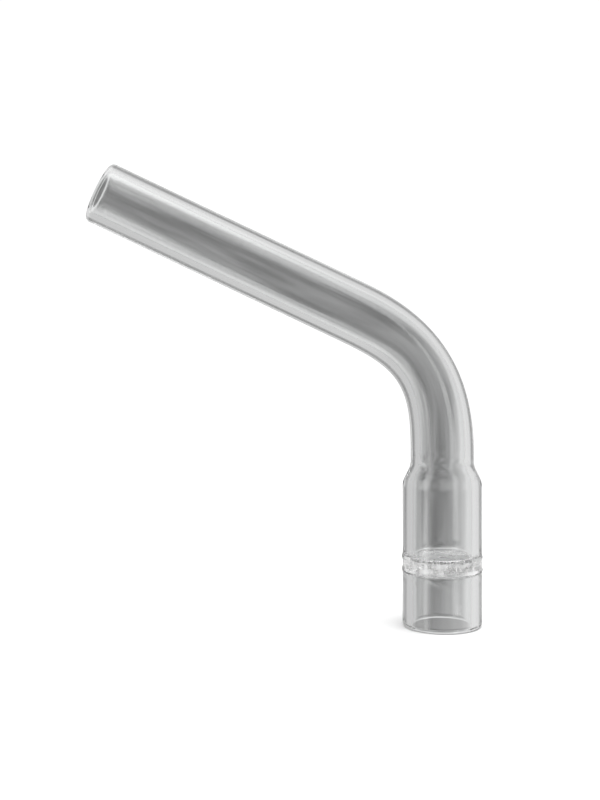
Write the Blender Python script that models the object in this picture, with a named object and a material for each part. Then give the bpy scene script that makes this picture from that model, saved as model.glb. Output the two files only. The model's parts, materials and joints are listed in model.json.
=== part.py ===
"""Bent glass draw tube: a slim mouth tube, a wide sleeve, a perforated glass screen and an open cup.

The bend lies in the XZ plane. The origin is the centre of the cup's open rim, +Z runs up the cup's
bore, and the mouth tube leans over towards -X. Lengths are in metres.
"""
import math

import bmesh
import bpy
from mathutils import Matrix, Vector

# Mouth tube: half-inch borosilicate tubing, bent once.
TUBE_OD = 0.0127
TUBE_WALL = 0.0018
TURN = math.radians(64.6)  # how far the tube's axis leans from the cup's axis
CORNER_Z = 0.0548  # height where the two straight axes cross
CORNER_TO_MOUTH = 0.0770
BEND_LENGTH = 0.036  # length of axis that is curved
BEND_EASE = 0.5  # 0 is a true arc, 1 starts and ends its curvature at nothing
BEND_FLATTENING = 0.07  # share of the diameter lost across the bend, at its middle

# Chamber: 16 mm tubing, drawn in at the top and open at the bottom.
CHAMBER_OD = 0.016
CHAMBER_WALL = 0.0020
SHOULDER_LOW_Z = 0.0282
SHOULDER_HIGH_Z = 0.0332
SHOULDER_STEPS = 8

# Screen: a fused glass disc as wide as the chamber, sealed between the sleeve and the cup.
SCREEN_LOW_Z = 0.0116
SCREEN_THICKNESS = 0.0022
CENTRE_HOLE_D = 0.0016
RING_HOLE_D = 0.0014
RING_HOLE_COUNT = 6
RING_TURN = math.radians(-8)
RING_RADIUS = 0.0039

# Weld fillets, where the bore narrows towards the screen.
FILLET_DEPTH = 0.0007
FILLET_ABOVE = 0.0025
FILLET_BELOW = 0.0040
FILLET_STEPS = 5

RIM_ROUNDING = 0.0004  # fire-polished corner of each open rim
RIM_STEPS = 3
WELD_GAP = 0.0003  # left between two pieces that are fused in the real object
SIDES = 48
BEND_STEPS = 18
HOLE_SIDES = 20

GLASS = (0.90, 0.92, 0.92, 1.0)
SCREEN_GLASS = (0.95, 0.96, 0.95, 1.0)


def clear_scene():
    for item in list(bpy.data.objects):
        bpy.data.objects.remove(item, do_unlink=True)


def glass_material(name, colour, roughness):
    material = bpy.data.materials.new(name)
    material.use_nodes = True
    shader = material.node_tree.nodes["Principled BSDF"]
    shader.inputs["Base Color"].default_value = colour
    shader.inputs["Roughness"].default_value = roughness
    shader.inputs["Metallic"].default_value = 0.0
    shader.inputs["IOR"].default_value = 1.474
    shader.inputs["Transmission Weight"].default_value = 1.0
    return material


def add_object(name, bm, material):
    """Turn a bmesh into a smooth-shaded object with its faces pointing out."""
    bmesh.ops.recalc_face_normals(bm, faces=bm.faces)
    mesh = bpy.data.meshes.new(name)
    bm.to_mesh(mesh)
    bm.free()
    mesh.shade_smooth()
    mesh.set_sharp_from_angle(angle=math.radians(35))
    mesh.materials.append(material)
    item = bpy.data.objects.new(name, mesh)
    bpy.context.collection.objects.link(item)
    return item


def ease(share):
    """Smooth step from 0 to 1."""
    return (1 - math.cos(math.pi * share)) / 2


def heading_at(share):
    """Angle the axis has turned through after this share of the bend."""
    return TURN * (share - BEND_EASE * math.sin(2 * math.pi * share) / (2 * math.pi))


def bend_axis():
    """Points (x, z, heading, flattening) along the bend, from its foot at (0, 0)."""
    slices = 20
    step = BEND_LENGTH / (BEND_STEPS * slices)
    x = 0.0
    z = 0.0
    points = []
    for index in range(BEND_STEPS * slices + 1):
        share = index / (BEND_STEPS * slices)
        if index % slices == 0:
            flattening = BEND_FLATTENING * math.sin(math.pi * share) ** 2
            points.append((x, z, heading_at(share), flattening))
        middle = share + 0.5 / (BEND_STEPS * slices)
        x -= math.sin(heading_at(middle)) * step
        z += math.cos(heading_at(middle)) * step
    return points


def tube_axis():
    """Stations (centre, heading, flattening) of the whole tube, from its foot to its mouth."""
    bend = bend_axis()
    end_x, end_z = bend[-1][:2]
    tangent = end_z + end_x / math.tan(TURN)
    foot_z = CORNER_Z - tangent
    stations = [(Vector((0, 0, SHOULDER_HIGH_Z + WELD_GAP)), 0.0, 0.0)]
    stations += [(Vector((x, 0, foot_z + z)), heading, flat) for x, z, heading, flat in bend]
    return stations


def rim_profile(outer, inner, towards):
    """Points (radius, height) round an open rim at height 0, from the outside to the inside.

    towards is +1 for a rim that faces up its axis and -1 for one that faces down.
    """
    points = []
    for corner, side in ((outer, 1), (inner, -1)):
        arc = []
        for step in range(RIM_STEPS + 1):
            angle = math.pi / 2 * step / RIM_STEPS
            radius = corner - side * RIM_ROUNDING * (1 - math.cos(angle))
            arc.append((radius, -towards * RIM_ROUNDING * (1 - math.sin(angle))))
        points += arc if side == 1 else arc[::-1]
    return points


def add_ring(bm, centre, heading, radius, flattening=0.0):
    """One loop of edges square to the axis, flattened in the plane of the bend."""
    place = Matrix.Translation(centre) @ Matrix.Rotation(-heading, 4, "Y")
    squeeze = Matrix.Diagonal((1 - flattening, 1 + flattening / 2, 1, 1))
    ring = bmesh.ops.create_circle(bm, segments=SIDES, radius=radius, matrix=place @ squeeze)
    return list(dict.fromkeys(edge for vert in ring["verts"] for edge in vert.link_edges))


def mouth_tube(material):
    """The bent tube: one skin up the outside, round the mouth's rim and down the bore."""
    bm = bmesh.new()
    outer = TUBE_OD / 2
    inner = outer - TUBE_WALL
    stations = tube_axis()
    lean = Vector((-math.sin(TURN), 0, math.cos(TURN)))
    mouth = Vector((0, 0, CORNER_Z)) + lean * CORNER_TO_MOUTH
    rings = [add_ring(bm, centre, heading, outer, flat) for centre, heading, flat in stations]
    for radius, height in rim_profile(outer, inner, 1):
        rings.append(add_ring(bm, mouth + lean * height, TURN, radius))
    for centre, heading, flat in reversed(stations):
        rings.append(add_ring(bm, centre, heading, inner, flat))
    for lower, upper in zip(rings, rings[1:] + rings[:1]):
        bmesh.ops.bridge_loops(bm, edges=lower + upper)
    return add_object("mouth_tube", bm, material)


def turned(name, profile, material):
    """Spin a closed profile of (radius, z) points about the Z axis."""
    bm = bmesh.new()
    verts = [bm.verts.new((radius, 0, z)) for radius, z in profile]
    edges = [bm.edges.new(pair) for pair in zip(verts, verts[1:] + verts[:1])]
    bmesh.ops.spin(
        bm,
        geom=verts + edges,
        cent=(0, 0, 0),
        axis=(0, 0, 1),
        angle=2 * math.pi,
        steps=SIDES,
        use_merge=True,
    )
    return add_object(name, bm, material)


def fillet_profile(face_z, reach):
    """Bore points from the chamber wall in to the screen, whose face is at face_z."""
    bore = CHAMBER_OD / 2 - CHAMBER_WALL
    points = []
    for step in range(FILLET_STEPS + 1):
        share = step / FILLET_STEPS
        points.append((bore - FILLET_DEPTH * share**2, face_z + reach * (1 - share)))
    return points


def chamber_sleeve(material):
    """The upper chamber, with its shoulder drawn in to the tube's size."""
    outer = CHAMBER_OD / 2
    inner = outer - CHAMBER_WALL
    neck = TUBE_OD / 2
    neck_bore = neck - TUBE_WALL
    low = SCREEN_LOW_Z + SCREEN_THICKNESS + WELD_GAP
    rise = SHOULDER_HIGH_Z - SHOULDER_LOW_Z
    outside = [(outer, low)]
    bore = []
    for step in range(SHOULDER_STEPS + 1):
        share = step / SHOULDER_STEPS
        height = SHOULDER_LOW_Z + rise * share
        outside.append((outer + (neck - outer) * ease(share), height))
        bore.append((inner + (neck_bore - inner) * ease(share), height))
    profile = outside + bore[::-1] + fillet_profile(low, FILLET_ABOVE)
    return turned("chamber_sleeve", profile, material)


def loading_cup(material):
    """The lower chamber: a short open cup under the screen."""
    outer = CHAMBER_OD / 2
    inner = outer - CHAMBER_WALL
    high = SCREEN_LOW_Z - WELD_GAP
    rim = rim_profile(outer, inner, -1)
    profile = rim + fillet_profile(high, -FILLET_BELOW) + [(outer, high)]
    return turned("loading_cup", profile, material)


def hole_cutter(name, x, y, diameter):
    bpy.ops.mesh.primitive_cylinder_add(
        vertices=HOLE_SIDES,
        radius=diameter / 2,
        depth=SCREEN_THICKNESS * 3,
        location=(x, y, SCREEN_LOW_Z + SCREEN_THICKNESS / 2),
    )
    cutter = bpy.context.object
    cutter.name = name
    cutter.hide_render = True
    cutter.display_type = "WIRE"
    return cutter


def screen_disc(material):
    """The fused disc, with one hole in the middle and a ring of six round it."""
    bm = bmesh.new()
    bmesh.ops.create_cone(
        bm,
        cap_ends=True,
        segments=SIDES,
        radius1=CHAMBER_OD / 2,
        radius2=CHAMBER_OD / 2,
        depth=SCREEN_THICKNESS,
        matrix=Matrix.Translation((0, 0, SCREEN_LOW_Z + SCREEN_THICKNESS / 2)),
    )
    disc = add_object("screen_disc", bm, material)
    cutters = [hole_cutter("hole_centre", 0, 0, CENTRE_HOLE_D)]
    for index in range(RING_HOLE_COUNT):
        angle = RING_TURN + 2 * math.pi * index / RING_HOLE_COUNT
        x = RING_RADIUS * math.cos(angle)
        y = RING_RADIUS * math.sin(angle)
        cutters.append(hole_cutter(f"hole_ring_{index + 1}", x, y, RING_HOLE_D))
    for cutter in cutters:
        cut = disc.modifiers.new(cutter.name, "BOOLEAN")
        cut.operation = "DIFFERENCE"
        cut.solver = "EXACT"
        cut.object = cutter
    return disc


def main():
    clear_scene()
    mouth_tube(glass_material("mouth_glass", GLASS, 0.02))
    chamber_sleeve(glass_material("sleeve_glass", GLASS, 0.02))
    screen_disc(glass_material("screen_glass", SCREEN_GLASS, 0.08))
    loading_cup(glass_material("cup_glass", GLASS, 0.02))


main()
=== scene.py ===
"""The finished look of the bent glass draw tube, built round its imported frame.

Four glass pieces stand for the four CAD solids. They meet at the welds without a gap, and the hidden
faces where they are fused are invisible, so light runs through them as through one piece of glass.
"""
import json
import math

import bmesh
import bpy
import numpy as np
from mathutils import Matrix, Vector
from mathutils.geometry import delaunay_2d_cdt


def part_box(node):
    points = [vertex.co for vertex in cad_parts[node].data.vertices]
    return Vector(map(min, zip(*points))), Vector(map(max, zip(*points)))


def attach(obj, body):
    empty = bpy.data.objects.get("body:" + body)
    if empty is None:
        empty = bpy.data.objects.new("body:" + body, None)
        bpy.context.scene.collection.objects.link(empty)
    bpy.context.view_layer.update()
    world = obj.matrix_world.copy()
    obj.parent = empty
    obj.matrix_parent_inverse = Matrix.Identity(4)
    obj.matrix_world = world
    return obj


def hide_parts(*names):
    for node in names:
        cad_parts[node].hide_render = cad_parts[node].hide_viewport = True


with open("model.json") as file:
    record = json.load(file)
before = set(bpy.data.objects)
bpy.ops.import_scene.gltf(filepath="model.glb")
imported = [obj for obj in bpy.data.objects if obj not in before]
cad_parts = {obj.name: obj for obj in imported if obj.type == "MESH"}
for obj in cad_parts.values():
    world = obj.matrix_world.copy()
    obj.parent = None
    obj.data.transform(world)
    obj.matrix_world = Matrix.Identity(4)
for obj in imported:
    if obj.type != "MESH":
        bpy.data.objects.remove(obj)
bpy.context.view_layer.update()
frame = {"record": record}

MM = 0.001
IOR = 1.474  # borosilicate glass
GLASS_TINT = (0.98, 0.985, 0.985, 1)

# The tube and the chamber, as the frame has them.
CUP_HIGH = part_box("loading_cup")[1]
SCREEN_LOW, SCREEN_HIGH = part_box("screen_disc")
SLEEVE_LOW, SLEEVE_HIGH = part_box("chamber_sleeve")
TUBE_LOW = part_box("mouth_tube")[0]
CHAMBER_R = CUP_HIGH.x
MOUTH = {mount["name"]: mount for mount in frame["record"]["mounts"]}["mouth_rim"]
LEAN = Vector(MOUTH["axis"])
MOUTH_CENTRE = Vector((MOUTH["pos_m"][0], 0, MOUTH["pos_m"][2]))
TURN = math.acos(LEAN.z)
TO_CORNER = MOUTH_CENTRE.x / LEAN.x
CORNER_Z = MOUTH_CENTRE.z - TO_CORNER * LEAN.z

# What the frame does not say.
TUBE_R = 6.35 * MM
TUBE_WALL = 1.8 * MM
CHAMBER_WALL = 2.0 * MM
BEND_LENGTH = 36 * MM
BEND_EASE = 0.5
BEND_FLATTENING = 0.07
BEND_THINNING = 0.2 * MM  # how far the bore moves in the bend
SHOULDER_LOW_Z = 28.2 * MM
SHOULDER_HIGH_Z = SLEEVE_HIGH.z
HOLE_RING_R = 3.9 * MM
HOLE_RING_COUNT = 6
HOLE_RING_TURN = math.radians(-8)
CENTRE_HOLE_R = 0.8 * MM
RING_HOLE_R = 0.7 * MM

# The welds: the planes half way between one solid and the next.
CUP_WELD_Z = (CUP_HIGH.z + SCREEN_LOW.z) / 2
SLEEVE_WELD_Z = (SCREEN_HIGH.z + SLEEVE_LOW.z) / 2
NECK_WELD_Z = (SLEEVE_HIGH.z + TUBE_LOW.z) / 2
BEAD_HEIGHT = 0.17 * MM
BEAD_WIDTH = 0.40 * MM
FILLET_ABOVE = 0.9 * MM
FILLET_BELOW = 0.9 * MM
FILLET_DEPTH = 0.40 * MM

# How uneven the drawn and fused glass is.
OUTSIDE_RIDGES = 0.010 * MM
BORE_RIDGES = 0.020 * MM
NECK_WAVES_REACH = 1.6 * MM
NECK_WAVES_OUTSIDE = 0.030 * MM
NECK_WAVES_BORE = 0.040 * MM
SCREEN_WAVES_REACH = 2.0 * MM
SCREEN_WAVES_OUTSIDE = 0.020 * MM
SLEEVE_WAVES_REACH = 1.5 * MM
CUP_WAVES_REACH = 2.2 * MM
CHAMBER_WAVES_BORE = 0.060 * MM

# Rounded edges.
CUP_LIP = 0.75 * MM
MOUTH_LIP = 0.9 * MM
HOLE_LIP = 0.16 * MM
SCREEN_CORNER = 0.3 * MM

SIDES = 144
SCREEN_PITCH = 0.28 * MM
HOLE_SIDES = 28
ARC_STEPS = 6
CHAMBER_STEP = 0.2 * MM
TUBE_STEP = 0.6 * MM
RIM_STEPS = 8


def ease(share):
    """Smooth step from 0 to 1, held outside them."""
    return (1 - np.cos(np.pi * np.clip(share, 0, 1))) / 2


def ripple(angle, along, depth, seed, slow=70 * MM):
    """Fine ridges that run the length of drawn tube, and wander as they go."""
    total = 0
    for ridges in (2, 3, 5, 8, 13, 21):
        wander = 0.9 * np.sin(2 * np.pi * along / slow + ridges * seed)
        total = total + np.cos(ridges * angle + seed * ridges**2 + wander) / ridges
    return depth * total


def weld_waves(angle, height, weld, reach, depth, seed):
    """Uneven flow of the glass close to a flame weld, fading away from it."""
    near = np.exp(-(((height - weld) / reach) ** 2))
    total = 0
    for waves in (2, 3, 5, 7, 11):
        total = total + np.sin(waves * angle + seed * waves + 900 * waves**0.5 * height)
    return depth * near * total / 3


# ---------------------------------------------------------------- the chamber's two surfaces

def chamber_outside(angle, z):
    """Outside radius of the cup, the screen and the sleeve."""
    neck = ease((z - SHOULDER_LOW_Z) / (SHOULDER_HIGH_Z - SHOULDER_LOW_Z))
    radius = CHAMBER_R + (TUBE_R - CHAMBER_R) * neck
    for weld in (CUP_WELD_Z, SLEEVE_WELD_Z):
        radius = radius + BEAD_HEIGHT * np.exp(-(((z - weld) / BEAD_WIDTH) ** 2))
    radius = radius + ripple(angle, z, OUTSIDE_RIDGES, 1.3)
    radius = radius + weld_waves(angle, z, SCREEN_LOW.z, SCREEN_WAVES_REACH, SCREEN_WAVES_OUTSIDE, 0.7)
    return radius + weld_waves(angle, z, NECK_WELD_Z, NECK_WAVES_REACH, NECK_WAVES_OUTSIDE, 2.1)


def chamber_bore(angle, z):
    """Inside radius of the cup and the sleeve, with the fillets that meet the screen."""
    neck = ease((z - SHOULDER_LOW_Z) / (SHOULDER_HIGH_Z - SHOULDER_LOW_Z))
    bore = CHAMBER_R - CHAMBER_WALL
    radius = bore + (TUBE_R - TUBE_WALL - bore) * neck
    above = np.clip(1 - (z - SCREEN_HIGH.z) / FILLET_ABOVE, 0, 1)
    below = np.clip(1 - (SCREEN_LOW.z - z) / FILLET_BELOW, 0, 1)
    radius = radius - FILLET_DEPTH * np.where(z > SCREEN_LOW.z, above**2.4, below**2.4)
    radius = radius + ripple(angle, z, BORE_RIDGES, 2.9)
    radius = radius + weld_waves(angle, z, SLEEVE_WELD_Z, SLEEVE_WAVES_REACH, CHAMBER_WAVES_BORE, 1.9)
    radius = radius + weld_waves(angle, z, CUP_WELD_Z, CUP_WAVES_REACH, CHAMBER_WAVES_BORE, 3.3)
    return radius + weld_waves(angle, z, NECK_WELD_Z, NECK_WAVES_REACH, NECK_WAVES_BORE, 0.4)


# ---------------------------------------------------------------- the tube's axis

def tube_axis():
    """Stations (centre x, z, heading, flattening, length so far) from the neck weld to the mouth."""
    steps = 1200
    share = (np.arange(steps) + 0.5) / steps
    heading = TURN * (share - BEND_EASE * np.sin(2 * np.pi * share) / (2 * np.pi))
    x = np.concatenate([[0], np.cumsum(-np.sin(heading))]) * BEND_LENGTH / steps
    z = np.concatenate([[0], np.cumsum(np.cos(heading))]) * BEND_LENGTH / steps
    foot = CORNER_Z - (z[-1] + x[-1] / math.tan(TURN))
    straight = foot - NECK_WELD_Z
    end = Vector((x[-1], 0, foot + z[-1]))
    leg = (MOUTH_CENTRE - end).length
    total = straight + BEND_LENGTH + leg
    stations = []
    count = round(total / TUBE_STEP)
    for index in range(count + 1):
        along = total * index / count
        part = (along - straight) / BEND_LENGTH
        if part <= 0:
            stations.append((0.0, NECK_WELD_Z + along, 0.0, 0.0, along))
        elif part < 1:
            at = part * steps
            turned = TURN * (part - BEND_EASE * math.sin(2 * math.pi * part) / (2 * math.pi))
            flat = math.sin(math.pi * part) ** 2
            grid = np.arange(steps + 1)
            stations.append((np.interp(at, grid, x), foot + np.interp(at, grid, z), turned, flat, along))
        else:
            spot = end + LEAN * (along - straight - BEND_LENGTH)
            stations.append((spot.x, spot.z, TURN, 0.0, along))
    return stations


def rim_arc(outer, inner, rounding, steps=RIM_STEPS):
    """Points (radius, depth below the rim) round a fire-polished lip, from outside to inside."""
    points = []
    for corner, side in ((outer, 1), (inner, -1)):
        arc = []
        for step in range(steps + 1):
            angle = math.pi / 2 * step / steps
            radius = corner - side * rounding * (1 - math.cos(angle))
            arc.append((radius, rounding * (1 - math.sin(angle))))
        points += arc if side == 1 else arc[::-1][1:]
    return points


# ---------------------------------------------------------------- meshes

ANGLES = 2 * np.pi * np.arange(SIDES) / SIDES


def upright_row(radius, z):
    """A ring of points about the chamber's axis. radius may differ from point to point."""
    radius = radius * np.ones(SIDES)
    height = z * np.ones(SIDES)
    points = np.column_stack([radius * np.cos(ANGLES), radius * np.sin(ANGLES), height])
    return points, points


def mesh_piece(name, verts, drawn, faces, slots, materials):
    """A glass piece. drawn is each point's place in the straight tube that it was drawn as."""
    mesh = bpy.data.meshes.new(name)
    mesh.from_pydata([tuple(v) for v in verts], [], [tuple(f) for f in faces])
    for material in materials:
        mesh.materials.append(material)
    mesh.polygons.foreach_set("material_index", np.array(slots, np.int32))
    place = mesh.attributes.new("drawn", "FLOAT_VECTOR", "POINT")
    place.data.foreach_set("vector", np.asarray(drawn, np.float32).ravel())
    mesh.validate()
    bm = bmesh.new()
    bm.from_mesh(mesh)
    bmesh.ops.recalc_face_normals(bm, faces=bm.faces)
    for face in bm.faces:
        face.smooth = True
    for edge in bm.edges:
        edge.smooth = len({face.material_index for face in edge.link_faces}) == 1
    bm.to_mesh(mesh)
    bm.free()
    piece = bpy.data.objects.new(name, mesh)
    bpy.context.collection.objects.link(piece)
    return piece


def ring_faces(count, closed=True):
    """Quads between rows of SIDES points, with the last row joined to the first."""
    faces = []
    for row in range(count if closed else count - 1):
        low = row * SIDES
        high = (row + 1) % count * SIDES
        for side in range(SIDES):
            turn = (side + 1) % SIDES
            faces.append((low + side, low + turn, high + turn, high + side))
    return faces


def skin(name, rows, welds, materials):
    """A closed ring of glass from rows of points. welds are the bands that are fused faces."""
    verts = np.concatenate([row[0] for row in rows])
    drawn = np.concatenate([row[1] for row in rows])
    faces = ring_faces(len(rows))
    slots = [1 if face // SIDES in welds else 0 for face in range(len(faces))]
    return mesh_piece(name, verts, drawn, faces, slots, materials)


def heights(low, high):
    count = max(2, round((high - low) / CHAMBER_STEP))
    return [low + (high - low) * index / count for index in range(count + 1)]


def sleeve_piece(materials):
    levels = heights(SLEEVE_WELD_Z, NECK_WELD_Z)
    outside = [upright_row(chamber_outside(ANGLES, z), z) for z in levels]
    bore = [upright_row(chamber_bore(ANGLES, z), z) for z in reversed(levels)]
    rows = outside + bore
    return skin("sleeve_glass", rows, (len(outside) - 1, len(rows) - 1), materials)


def cup_piece(materials):
    rounding = CUP_LIP
    levels = heights(rounding, CUP_WELD_Z)
    outside = [upright_row(chamber_outside(ANGLES, z), z) for z in levels]
    bore = [upright_row(chamber_bore(ANGLES, z), z) for z in reversed(levels)]
    outer = chamber_outside(ANGLES, rounding)
    inner = chamber_bore(ANGLES, rounding)
    rim = []
    for radius, depth in reversed(rim_arc(1.0, 0.0, 0.5)[1:-1]):
        # The lip is drawn on a unit wall, then stretched to the wall at each angle.
        rim.append(upright_row(inner + (outer - inner) * radius, depth / 0.5 * rounding))
    rows = outside + bore + rim
    return skin("cup_glass", rows, (len(outside) - 1,), materials)


def tube_row(station, radius, shift=0.0):
    """A ring of points square to the tube's axis at a station."""
    x, z, heading, flat, along = station
    across = np.cos(ANGLES) * radius * (1 - BEND_FLATTENING * flat) + shift
    deep = np.sin(ANGLES) * radius * (1 + BEND_FLATTENING * flat / 2)
    points = np.column_stack([x + across * math.cos(heading), deep, z + across * math.sin(heading)])
    drawn = np.column_stack(
        [np.cos(ANGLES) * radius, np.sin(ANGLES) * radius, (NECK_WELD_Z + along) * np.ones(SIDES)]
    )
    return points, drawn


def tube_piece(materials):
    rounding = MOUTH_LIP
    stations = tube_axis()
    length = stations[-1][4]
    body = [station for station in stations if station[4] <= length - rounding * 1.2]

    def outer_at(along):
        place = NECK_WELD_Z + along
        waves = weld_waves(ANGLES, place, NECK_WELD_Z, NECK_WAVES_REACH, NECK_WAVES_OUTSIDE, 2.1)
        return TUBE_R + ripple(ANGLES, place, OUTSIDE_RIDGES, 1.3) + waves

    def inner_at(along):
        place = NECK_WELD_Z + along
        waves = weld_waves(ANGLES, place, NECK_WELD_Z, NECK_WAVES_REACH, NECK_WAVES_BORE, 0.4)
        return TUBE_R - TUBE_WALL + ripple(ANGLES, place, BORE_RIDGES, 2.9) + waves

    outside = [tube_row(station, outer_at(station[4])) for station in body]
    bore = [
        tube_row(station, inner_at(station[4]), BEND_THINNING * station[3]) for station in reversed(body)
    ]
    rim = []
    outer = outer_at(length - rounding)
    inner = inner_at(length - rounding)
    for radius, depth in rim_arc(1.0, 0.0, 0.5):
        along = length - depth / 0.5 * rounding
        spot = MOUTH_CENTRE + LEAN * (along - length)
        station = (spot.x, spot.z, TURN, 0.0, along)
        rim.append(tube_row(station, inner + (outer - inner) * radius))
    rows = outside + rim + bore
    return skin("mouth_tube_glass", rows, (len(rows) - 1,), materials)


def screen_sheet(rim_row, z, holes, lift):
    """One face of the screen: triangles between the rim, the holes and a grid of inner points."""
    spots = [Vector(point[:2]) for point in rim_row]
    loops = [list(range(len(spots)))]
    for ring in holes:
        loops.append(list(range(len(spots), len(spots) + len(ring))))
        spots += [Vector(point[:2]) for point in ring]
    edges = [pair for loop in loops for pair in zip(loop, loop[1:] + loop[:1])]
    fixed = len(spots)
    pitch = SCREEN_PITCH
    reach = min(Vector(point[:2]).length for point in rim_row) - 0.6 * pitch
    centres = [sum((Vector(point[:2]) for point in ring), Vector((0, 0))) / len(ring) for ring in holes]
    radii = [(Vector(ring[0][:2]) - centre).length for ring, centre in zip(holes, centres)]
    span = math.ceil(CHAMBER_R / pitch)
    for row in range(-span, span + 1):
        for column in range(-span, span + 1):
            spot = Vector(((column + row % 2 / 2) * pitch, row * pitch * 0.866))
            clear = all((spot - c).length > r + 0.5 * pitch for c, r in zip(centres, radii))
            if spot.length < reach and clear:
                spots.append(spot)
    flat, _, triangles = delaunay_2d_cdt(spots, edges, [], 0, 1e-7)[:3]
    kept = []
    for triangle in triangles:
        middle = sum((flat[index] for index in triangle), Vector((0, 0))) / len(triangle)
        if all((middle - c).length > r * 0.99 for c, r in zip(centres, radii)):
            kept.append(triangle)
    inner = np.array([(spot.x, spot.y, z + lift(spot.x, spot.y)) for spot in flat[fixed:]])
    return fixed, inner, kept


def screen_piece(materials):
    """The fused disc: its outside band, two weld faces, two wavy faces and seven holes."""

    def lift(x, y):
        return 0.02 * MM * (math.sin(1900 * x + 1) + math.sin(2300 * y + 2.2) * math.cos(1100 * x))

    band = [upright_row(chamber_outside(ANGLES, z), z)[0] for z in heights(CUP_WELD_Z, SLEEVE_WELD_Z)]
    verts = [point for row in band for point in row]
    faces = ring_faces(len(band), closed=False)
    slots = [0] * len(faces)

    def add_row(points):
        start = len(verts)
        verts.extend(points)
        return list(range(start, len(verts)))

    def join(first, second, slot):
        for index in range(len(first)):
            turn = (index + 1) % len(first)
            faces.append((first[index], first[turn], second[turn], second[index]))
            slots.append(slot)

    band_low = list(range(SIDES))
    band_high = list(range((len(band) - 1) * SIDES, len(band) * SIDES))
    places = [(0.0, 0.0, CENTRE_HOLE_R)]
    for index in range(HOLE_RING_COUNT):
        angle = HOLE_RING_TURN + 2 * math.pi * index / HOLE_RING_COUNT
        places.append((HOLE_RING_R * math.cos(angle), HOLE_RING_R * math.sin(angle), RING_HOLE_R))
    turns = [2 * math.pi * index / HOLE_SIDES for index in range(HOLE_SIDES)]

    def hole_row(place, radius, z):
        x, y, _ = place
        return [np.array((x + radius * math.cos(t), y + radius * math.sin(t), z)) for t in turns]

    mouths = {}
    for place in places:
        rows = []
        for face_z, away in ((SCREEN_HIGH.z, -1), (SCREEN_LOW.z, 1)):
            arc = []
            for step in range(ARC_STEPS + 1):
                angle = math.pi / 2 * step / ARC_STEPS
                out = HOLE_LIP * (1 - math.sin(angle))
                level = face_z + away * HOLE_LIP * (1 - math.cos(angle))
                arc.append(add_row(hole_row(place, place[2] + out, level)))
            rows += arc if away == -1 else arc[::-1]
        for first, second in zip(rows, rows[1:]):
            join(first, second, 2 if first is rows[ARC_STEPS] else 0)
        mouths.setdefault("high", []).append(rows[0])
        mouths.setdefault("low", []).append(rows[-1])

    for key, face_z, weld_z, edge in (
        ("high", SCREEN_HIGH.z, SLEEVE_WELD_Z, band_high),
        ("low", SCREEN_LOW.z, CUP_WELD_Z, band_low),
    ):
        weld = add_row(upright_row(chamber_bore(ANGLES, weld_z), weld_z)[0])
        join(edge, weld, 1)
        corner = weld
        for step in range(1, ARC_STEPS + 1):
            angle = math.pi / 2 * step / ARC_STEPS
            inset = SCREEN_CORNER * (1 - math.cos(angle))
            level = weld_z + (face_z - weld_z) * math.sin(angle)
            row = add_row(upright_row(chamber_bore(ANGLES, weld_z) - inset, level)[0])
            join(corner, row, 0)
            corner = row
        rims = [[verts[index] for index in mouth] for mouth in mouths[key]]
        fixed, inner, triangles = screen_sheet([verts[index] for index in corner], face_z, rims, lift)
        known = list(corner) + [index for mouth in mouths[key] for index in mouth]
        start = len(verts)
        verts.extend(inner)
        for triangle in triangles:
            faces.append(tuple(known[i] if i < fixed else start + i - fixed for i in triangle))
            slots.append(3)
    return mesh_piece("screen_glass", verts, verts, faces, slots, materials)


# ---------------------------------------------------------------- materials

def node(tree, kind, **values):
    made = tree.nodes.new(kind)
    for name, value in values.items():
        if name in made.inputs:
            made.inputs[name].default_value = value
        else:
            setattr(made, name, value)
    return made


def clear_glass(name, tint, line_depth, wave_depth, haze):
    """Clear glass with draw lines along the tube, slow waves in its face and a trace of haze."""
    material = bpy.data.materials.new(name)
    material.use_nodes = True
    tree = material.node_tree
    link = tree.links.new
    shader = tree.nodes["Principled BSDF"]
    shader.inputs["Base Color"].default_value = tint
    shader.inputs["Transmission Weight"].default_value = 1.0
    shader.inputs["IOR"].default_value = IOR
    place = node(tree, "ShaderNodeAttribute", attribute_name="drawn")

    lines_space = node(tree, "ShaderNodeMapping", Scale=(1.0, 1.0, 0.02))
    lines = node(tree, "ShaderNodeTexNoise", Scale=1400.0, Detail=2.0, Roughness=0.6)
    link(place.outputs["Vector"], lines_space.inputs["Vector"])
    link(lines_space.outputs["Vector"], lines.inputs["Vector"])
    line_bump = node(tree, "ShaderNodeBump", Strength=1.0, Distance=line_depth)
    link(lines.outputs["Fac"], line_bump.inputs["Height"])

    waves = node(tree, "ShaderNodeTexNoise", Scale=260.0, Detail=1.0)
    link(place.outputs["Vector"], waves.inputs["Vector"])
    wave_bump = node(tree, "ShaderNodeBump", Strength=1.0, Distance=wave_depth)
    link(waves.outputs["Fac"], wave_bump.inputs["Height"])
    link(line_bump.outputs["Normal"], wave_bump.inputs["Normal"])
    link(wave_bump.outputs["Normal"], shader.inputs["Normal"])

    smears = node(tree, "ShaderNodeTexNoise", Scale=120.0, Detail=5.0, Roughness=0.7)
    link(place.outputs["Vector"], smears.inputs["Vector"])
    amount = node(tree, "ShaderNodeMapRange")
    amount.inputs["From Min"].default_value = 0.52
    amount.inputs["From Max"].default_value = 0.75
    amount.inputs["To Min"].default_value = 0.0
    amount.inputs["To Max"].default_value = haze
    link(smears.outputs["Fac"], amount.inputs["Value"])
    link(amount.outputs["Result"], shader.inputs["Roughness"])
    return material


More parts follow.
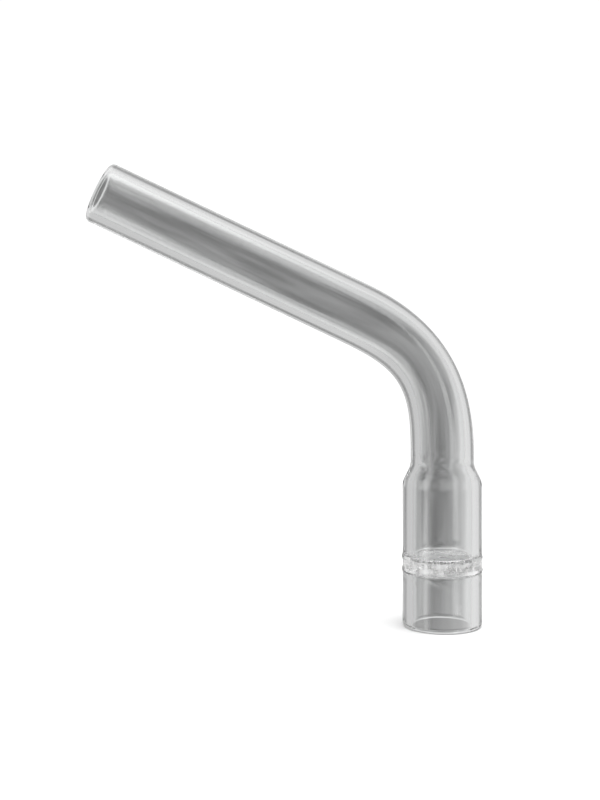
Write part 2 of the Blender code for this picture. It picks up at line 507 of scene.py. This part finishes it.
def cloudy_glass(name, rough_low, rough_high, clear_low, clear_high):
    """The screen's glass: the fusing leaves it clouded with fine bubbles that scatter the light."""
    material = bpy.data.materials.new(name)
    material.use_nodes = True
    tree = material.node_tree
    link = tree.links.new
    shader = tree.nodes["Principled BSDF"]
    shader.inputs["Base Color"].default_value = (0.99, 0.99, 0.99, 1)
    shader.inputs["IOR"].default_value = IOR
    place = node(tree, "ShaderNodeAttribute", attribute_name="drawn")
    grain = node(tree, "ShaderNodeTexNoise", Scale=600.0, Detail=3.0)
    link(place.outputs["Vector"], grain.inputs["Vector"])
    grain_share = grain.outputs["Fac"]
    link(step_node(tree, grain_share, 0.35, 0.65, rough_low, rough_high), shader.inputs["Roughness"])
    link(
        step_node(tree, grain_share, 0.35, 0.65, clear_high, clear_low),
        shader.inputs["Transmission Weight"],
    )
    bump = node(tree, "ShaderNodeBump", Strength=1.0, Distance=0.004 * MM)
    link(grain_share, bump.inputs["Height"])
    link(bump.outputs["Normal"], shader.inputs["Normal"])
    return material


def weld_face():
    """The hidden face where two pieces are fused: nothing bends or shines there."""
    material = bpy.data.materials.new("weld_face")
    material.use_nodes = True
    tree = material.node_tree
    tree.nodes.remove(tree.nodes["Principled BSDF"])
    clear = node(tree, "ShaderNodeBsdfTransparent")
    tree.links.new(clear.outputs["BSDF"], tree.nodes["Material Output"].inputs["Surface"])
    return material


# ---------------------------------------------------------------- stage

def sum_node(tree, operation, first, second=None):
    """One Math node. first and second are sockets or numbers."""
    made = tree.nodes.new("ShaderNodeMath")
    made.operation = operation
    for index, value in enumerate((first, second)):
        if value is None:
            continue
        if isinstance(value, (int, float)):
            made.inputs[index].default_value = value
        else:
            tree.links.new(value, made.inputs[index])
    return made.outputs[0]


def step_node(tree, value, low, high, at_low=0.0, at_high=1.0):
    """A smooth step of value between two levels."""
    made = node(tree, "ShaderNodeMapRange", interpolation_type="SMOOTHSTEP")
    for name, number in (("From Min", low), ("From Max", high), ("To Min", at_low), ("To Max", at_high)):
        made.inputs[name].default_value = number
    tree.links.new(value, made.inputs["Value"])
    return made.outputs["Result"]


def blend_node(tree, share, first, second):
    """first where share is 0, second where it is 1."""
    rest = sum_node(tree, "SUBTRACT", 1.0, share)
    return sum_node(
        tree, "ADD", sum_node(tree, "MULTIPLY", rest, first), sum_node(tree, "MULTIPLY", share, second)
    )


def stage_paper():
    """Pale matt paper that fades out into the white of the studio."""
    material = bpy.data.materials.new("stage_paper")
    material.use_nodes = True
    tree = material.node_tree
    link = tree.links.new
    shader = tree.nodes["Principled BSDF"]
    shader.inputs["Roughness"].default_value = 0.9
    shader.inputs["Specular IOR Level"].default_value = 0.1
    shader.inputs["Base Color"].default_value = (0.86, 0.86, 0.86, 1)
    clear = node(tree, "ShaderNodeBsdfTransparent")
    place = node(tree, "ShaderNodeTexCoord")
    away = node(tree, "ShaderNodeVectorMath", operation="LENGTH")
    mix = node(tree, "ShaderNodeMixShader")
    link(place.outputs["Object"], away.inputs[0])
    link(step_node(tree, away.outputs["Value"], 0.05, 0.30), mix.inputs["Fac"])
    link(shader.outputs["BSDF"], mix.inputs[1])
    link(clear.outputs["BSDF"], mix.inputs[2])
    link(mix.outputs["Shader"], tree.nodes["Material Output"].inputs["Surface"])
    return material


def build_stage():
    far = 0.4
    mesh = bpy.data.meshes.new("stage_floor")
    mesh.from_pydata([(-far, -far, 0), (far, -far, 0), (far, far, 0), (-far, far, 0)], [], [(0, 1, 2, 3)])
    mesh.materials.append(stage_paper())
    floor = bpy.data.objects.new("stage_floor", mesh)
    bpy.context.collection.objects.link(floor)
    floor.visible_transmission = False
    floor.visible_glossy = False


def soft_light(name, place, size, power, target):
    data = bpy.data.lights.new(name, "AREA")
    data.shape = "RECTANGLE"
    data.size, data.size_y = size
    data.energy = power
    lamp = bpy.data.objects.new(name, data)
    lamp.location = place
    lamp.rotation_euler = (Vector(target) - Vector(place)).to_track_quat("-Z", "Y").to_euler()
    lamp.visible_camera = False
    lamp.visible_glossy = False
    lamp.visible_transmission = False
    bpy.context.collection.objects.link(lamp)
    return lamp


CAMERA_PLACE = (-0.0288, -0.284, 0.0703)
CAMERA_LENS = 63.1
CAMERA_SHIFT = -0.1525
LAMP_PLACE = (0.25, -0.15, 1.0)
LAMP_TARGET = (-0.03, 0, 0.045)
LAMP_SIZE = (1.0, 1.0)
LAMP_POWER = 9.0

# The studio that the glass bends and mirrors. Levels are brightness, where 1 is white.
BACKDROP_LEVEL = 0.22
MOTTLE = 0.09
BACKDROP_RISE = math.radians(-2)
BACKDROP_EDGE = (math.radians(8), math.radians(27))
ROOM_LEFT_LEVEL = 0.58
ROOM_RIGHT_LEVEL = 0.75
ROOM_BACK_LEVEL = 0.60
SOFT_BOX_LEVEL = 2.5
SOFT_BOX_TURN = math.radians(-119)
TABLE_LEVEL = 1.4
WHITE_LEVEL = 1.05


def studio_level(tree):
    """Brightness of the studio in each direction: a grey backdrop, a pale room and soft boxes."""
    link = tree.links.new
    place = node(tree, "ShaderNodeTexCoord")
    parts = node(tree, "ShaderNodeSeparateXYZ")
    link(place.outputs["Generated"], parts.inputs["Vector"])
    x, y, z = parts.outputs
    turn = sum_node(tree, "ARCTAN2", x, y)
    turn_size = sum_node(tree, "ABSOLUTE", turn)
    side = math.radians(40)
    level = step_node(tree, turn, -side, side, ROOM_LEFT_LEVEL, ROOM_RIGHT_LEVEL)
    behind = step_node(tree, turn_size, math.radians(70), math.radians(110))
    level = blend_node(tree, behind, level, ROOM_BACK_LEVEL)
    towards = node(tree, "ShaderNodeVectorMath", operation="DOT_PRODUCT")
    towards.inputs[1].default_value = (0, math.cos(BACKDROP_RISE), math.sin(BACKDROP_RISE))
    link(place.outputs["Generated"], towards.inputs[0])
    off = sum_node(tree, "ARCCOSINE", towards.outputs["Value"])
    mottle = node(tree, "ShaderNodeTexNoise", Scale=9.0, Detail=2.0)
    link(place.outputs["Generated"], mottle.inputs["Vector"])
    backdrop = step_node(
        tree, mottle.outputs["Fac"], 0.3, 0.7, BACKDROP_LEVEL - MOTTLE, BACKDROP_LEVEL + MOTTLE
    )
    level = blend_node(tree, step_node(tree, off, *BACKDROP_EDGE, 1.0, 0.0), level, backdrop)
    from_box = sum_node(tree, "ABSOLUTE", sum_node(tree, "SUBTRACT", turn, SOFT_BOX_TURN))
    box = step_node(tree, from_box, math.radians(10), math.radians(16), 1.0, 0.0)
    level = blend_node(tree, box, level, SOFT_BOX_LEVEL)
    level = blend_node(tree, step_node(tree, z, 0.84, 0.95), level, SOFT_BOX_LEVEL)
    return blend_node(tree, step_node(tree, z, -0.92, -0.80, 1.0, 0.0), level, TABLE_LEVEL)


def build_lights():
    soft_light("top_light", LAMP_PLACE, LAMP_SIZE, LAMP_POWER, LAMP_TARGET)
    world = bpy.data.worlds.new("studio")
    bpy.context.scene.world = world
    world.use_nodes = True
    tree = world.node_tree
    link = tree.links.new
    seen = tree.nodes["Background"]
    seen.inputs["Color"].default_value = (1, 1, 1, 1)
    seen.inputs["Strength"].default_value = WHITE_LEVEL
    room = node(tree, "ShaderNodeBackground", Color=(1.0, 1.0, 1.0, 1))
    link(studio_level(tree), room.inputs["Strength"])
    path = node(tree, "ShaderNodeLightPath")
    mix = node(tree, "ShaderNodeMixShader")
    link(path.outputs["Is Camera Ray"], mix.inputs["Fac"])
    link(room.outputs["Background"], mix.inputs[1])
    link(seen.outputs["Background"], mix.inputs[2])
    link(mix.outputs["Shader"], tree.nodes["World Output"].inputs["Surface"])


def build_camera():
    """Level with the upper tube, looking along +Y. The picture's middle lies below the camera's height."""
    data = bpy.data.cameras.new("camera")
    data.lens = CAMERA_LENS
    data.shift_y = CAMERA_SHIFT
    data.sensor_width = 36.0
    data.clip_start = 0.005
    data.clip_end = 20
    camera = bpy.data.objects.new("camera", data)
    camera.location = CAMERA_PLACE
    camera.rotation_euler = (math.pi / 2, 0, 0)
    bpy.context.collection.objects.link(camera)
    bpy.context.scene.camera = camera


def set_light_paths():
    scene = bpy.context.scene
    scene.view_settings.view_transform = "Standard"
    scene.cycles.max_bounces = 32
    scene.cycles.transmission_bounces = 32
    scene.cycles.glossy_bounces = 16
    scene.cycles.transparent_max_bounces = 32


def main():
    build_camera()
    build_lights()
    build_stage()
    set_light_paths()
    weld = weld_face()
    tube = clear_glass("tube_glass", GLASS_TINT, 0.012 * MM, 0.004 * MM, 0.03)
    chamber = clear_glass("chamber_glass", GLASS_TINT, 0.002 * MM, 0.006 * MM, 0.03)
    screen = cloudy_glass("screen_glass", 0.0, 0.08, 0.60, 0.90)
    # The glass of the hole walls has a grey tint of 0.80. This is painted shade that makes the screen's
    # holes look dark.
    holes = clear_glass("hole_glass_painted_shade", (0.80, 0.80, 0.80, 1), 0.0, 0.01 * MM, 0.2)
    face = cloudy_glass("screen_face", 0.30, 0.60, 0.10, 0.45)
    for piece, replaced, slot in (
        (tube_piece([tube, weld]), "mouth_tube", "tube_glass"),
        (sleeve_piece([chamber, weld]), "chamber_sleeve", "chamber_glass"),
        (screen_piece([screen, weld, holes, face]), "screen_disc", "screen_glass"),
        (cup_piece([chamber, weld]), "loading_cup", "chamber_glass"),
    ):
        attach(piece, "root")
        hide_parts(replaced)


main()
